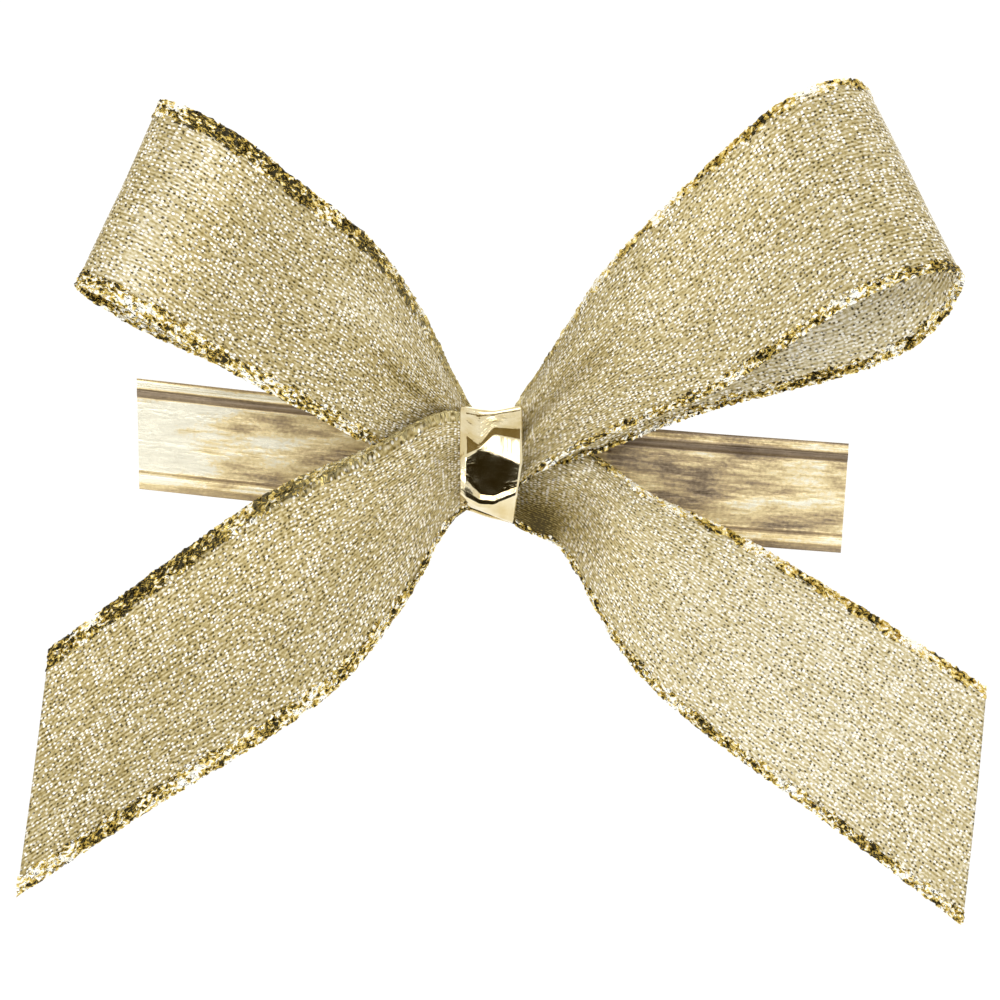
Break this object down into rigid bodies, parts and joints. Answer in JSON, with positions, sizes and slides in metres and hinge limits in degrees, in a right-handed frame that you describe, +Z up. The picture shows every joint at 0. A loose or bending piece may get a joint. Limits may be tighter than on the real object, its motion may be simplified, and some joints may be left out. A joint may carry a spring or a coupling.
{
  "type": "pre-made gift bow",
  "caption": "Flat two-loop gift bow of gold lurex ribbon with metallic edges, gathered by a gold foil band onto a flat wired foil clip tie.",
  "frame": {"origin": "on the flat back face of the centre band, where the bow seats against the neck of a bag", "axes": "+Z up, +Y backwards into the bag, +X to the right as seen from the front; the bow faces -Y"},
  "size_m": [0.0705, 0.0115, 0.0612],
  "materials": {
    "ribbon_weave": "semi-sheer champagne-gold lurex weave with fine glitter",
    "metallic_edge": "crinkled metallised gold yarn, hard bright and dark glints",
    "gold_foil_band": "mirror-gold metallised film with pressed creases",
    "gold_foil_tie": "pale gold metallised film, lengthwise creases",
    "tie_wire": "drawn steel wire, hidden between the films"
  },
  "bodies": {
    "knot": {"centre_band": "gold_foil_band", "centre_band_lap": "gold_foil_band", "ribbon_crossing_back": "ribbon_weave", "ribbon_crossing_middle": "ribbon_weave", "ribbon_crossing_front": "ribbon_weave", "tie_centre_film_back": "gold_foil_tie", "tie_centre_film_front": "gold_foil_tie", "tie_centre_wire_lower": "tie_wire", "tie_centre_wire_upper": "tie_wire"},
    "tie_left_inner": {"tie_left_inner_film_back": "gold_foil_tie", "tie_left_inner_film_front": "gold_foil_tie", "tie_left_inner_wire_lower": "tie_wire", "tie_left_inner_wire_upper": "tie_wire"},
    "tie_left_middle": {"tie_left_middle_film_back": "gold_foil_tie", "tie_left_middle_film_front": "gold_foil_tie", "tie_left_middle_wire_lower": "tie_wire", "tie_left_middle_wire_upper": "tie_wire"},
    "tie_left_tip": {"tie_left_tip_film_back": "gold_foil_tie", "tie_left_tip_film_front": "gold_foil_tie", "tie_left_tip_wire_lower": "tie_wire", "tie_left_tip_wire_upper": "tie_wire"},
    "tie_right_inner": {"tie_right_inner_film_back": "gold_foil_tie", "tie_right_inner_film_front": "gold_foil_tie", "tie_right_inner_wire_lower": "tie_wire", "tie_right_inner_wire_upper": "tie_wire"},
    "tie_right_tip": {"tie_right_tip_film_back": "gold_foil_tie", "tie_right_tip_film_front": "gold_foil_tie", "tie_right_tip_wire_lower": "tie_wire", "tie_right_tip_wire_upper": "tie_wire"},
    "left_loop": {"left_loop_lower_edge": "metallic_edge", "left_loop_upper_edge": "metallic_edge", "ribbon_left_loop": "ribbon_weave"},
    "right_loop": {"ribbon_right_loop": "ribbon_weave", "right_loop_lower_edge": "metallic_edge", "right_loop_upper_edge": "metallic_edge"},
    "left_tail": {"left_tail_lower_edge": "metallic_edge", "left_tail_upper_edge": "metallic_edge", "ribbon_left_tail": "ribbon_weave"},
    "right_tail": {"ribbon_right_tail": "ribbon_weave", "right_tail_lower_edge": "metallic_edge", "right_tail_upper_edge": "metallic_edge"}
  },
  "joints": [
    {"name": "left_inner_bend", "type": "hinge", "parent": "knot", "child": "tie_left_inner", "pos_m": [-0.0045, -0.00045, -0.00013], "axis": [-0.0982, 0, -0.9952], "range_deg": [0, 90]},
    {"name": "left_middle_bend", "type": "hinge", "parent": "tie_left_inner", "child": "tie_left_middle", "pos_m": [-0.0125, -0.00045, 0.00066], "axis": [-0.1048, 0, -0.9945], "range_deg": [0, 90]},
    {"name": "left_tip_bend", "type": "hinge", "parent": "tie_left_middle", "child": "tie_left_tip", "pos_m": [-0.02, -0.00045, 0.00145], "axis": [-0.1104, 0, -0.9939], "range_deg": [0, 90]},
    {"name": "right_inner_bend", "type": "hinge", "parent": "knot", "child": "tie_right_inner", "pos_m": [0.0055, -0.00045, -0.00104], "axis": [0.0818, 0, 0.9966], "range_deg": [0, 90]},
    {"name": "right_tip_bend", "type": "hinge", "parent": "tie_right_inner", "child": "tie_right_tip", "pos_m": [0.0161, -0.00045, -0.00191], "axis": [0.0732, 0, 0.9973], "range_deg": [0, 90]},
    {"name": "left_loop_tilt", "type": "hinge", "parent": "knot", "child": "left_loop", "pos_m": [-0.0026, -0.00245, 0.0018], "axis": [0.5925, 0, 0.8056], "range_deg": [-4, 4.5], "stiffness_Nm_per_rad": 0.0008},
    {"name": "right_loop_tilt", "type": "hinge", "parent": "knot", "child": "right_loop", "pos_m": [0.0026, -0.0038, 0.0015], "axis": [0.5561, 0, -0.8311], "range_deg": [-4, 6], "stiffness_Nm_per_rad": 0.0008},
    {"name": "left_tail_swing", "type": "hinge", "parent": "knot", "child": "left_tail", "pos_m": [-0.0026, -0.00445, -0.0005], "axis": [-0.5915, 0, 0.8063], "range_deg": [-4, 12], "stiffness_Nm_per_rad": 0.0008},
    {"name": "right_tail_swing", "type": "hinge", "parent": "knot", "child": "right_tail", "pos_m": [0.0026, -0.00175, -0.0002], "axis": [-0.6, 0, -0.8], "range_deg": [-4, 4], "stiffness_Nm_per_rad": 0.0008}
  ]
}
